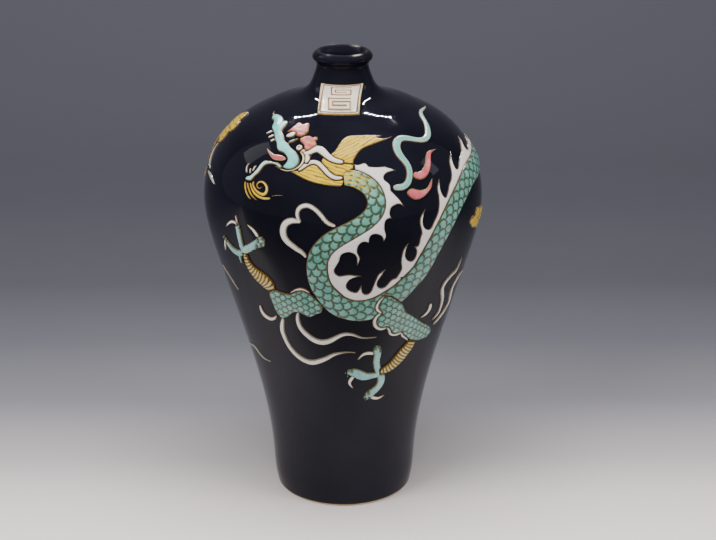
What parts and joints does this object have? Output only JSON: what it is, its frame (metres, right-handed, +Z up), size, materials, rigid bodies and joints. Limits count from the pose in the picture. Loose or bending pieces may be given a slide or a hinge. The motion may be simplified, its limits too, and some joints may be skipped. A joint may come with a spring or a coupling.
{
  "type": "meiping vase",
  "caption": "High-shouldered glazed stoneware vase with a short narrow neck, rolled lip, narrow foot and a raised enamel dragon.",
  "frame": {"origin": "centre of the foot ring on the surface that the vase stands on", "axes": "+Z up along the vase's axis, -Y towards the front with the label and the dragon's breast, +X to the viewer's right"},
  "size_m": [0.2402, 0.2429, 0.4],
  "materials": {
    "stoneware": "matte",
    "slip": "matte",
    "black_glaze": "gloss",
    "turquoise_enamel": "gloss",
    "green_enamel": "gloss",
    "white_enamel": "gloss",
    "yellow_enamel": "gloss",
    "pink_enamel": "gloss",
    "brown_enamel": "gloss"
  },
  "bodies": {
    "root": {"lower_body": "stoneware", "upper_body": "stoneware", "neck": "stoneware", "waist_luting": "slip", "neck_luting": "slip", "glaze_coat": "black_glaze", "snout": "turquoise_enamel", "lower_jaw": "turquoise_enamel", "left_paw": "turquoise_enamel", "right_paw": "turquoise_enamel", "hind_paws": "turquoise_enamel", "flame_ribbon": "turquoise_enamel", "right_thigh": "green_enamel", "left_thigh": "green_enamel", "hind_thighs": "green_enamel", "trunk_neck": "green_enamel", "trunk_loop": "green_enamel", "trunk_side": "green_enamel", "trunk_back": "green_enamel", "trunk_tail": "green_enamel", "eye": "white_enamel", "brow": "white_enamel", "face": "white_enamel", "upper_teeth": "white_enamel", "lower_teeth": "white_enamel", "horn_upper": "white_enamel", "horn_lower": "white_enamel", "thigh_edging": "white_enamel", "neck_fin": "white_enamel", "loop_fin": "white_enamel", "side_fin": "white_enamel", "back_fin": "white_enamel", "left_claws": "white_enamel", "left_tufts": "white_enamel", "right_claws": "white_enamel", "right_tuft": "white_enamel", "hind_claws": "white_enamel", "heart_ribbon": "white_enamel", "whisker_outer": "white_enamel", "whisker_inner": "white_enamel", "wave_ribbons": "white_enamel", "tail_wisps": "white_enamel", "label_field": "white_enamel", "cheek_rim": "yellow_enamel", "beard": "yellow_enamel", "mane_upper": "yellow_enamel", "mane_middle": "yellow_enamel", "mane_lower": "yellow_enamel", "left_shin": "yellow_enamel", "right_shin": "yellow_enamel", "hind_shins": "yellow_enamel", "tail_tuft": "yellow_enamel", "right_cloud": "yellow_enamel", "left_cloud": "yellow_enamel", "tongue": "pink_enamel", "crest_upper": "pink_enamel", "crest_lower": "pink_enamel", "pink_flame": "pink_enamel", "pink_crescent": "pink_enamel", "label_border": "brown_enamel", "label_fret": "brown_enamel"}
  },
  "joints": []
}
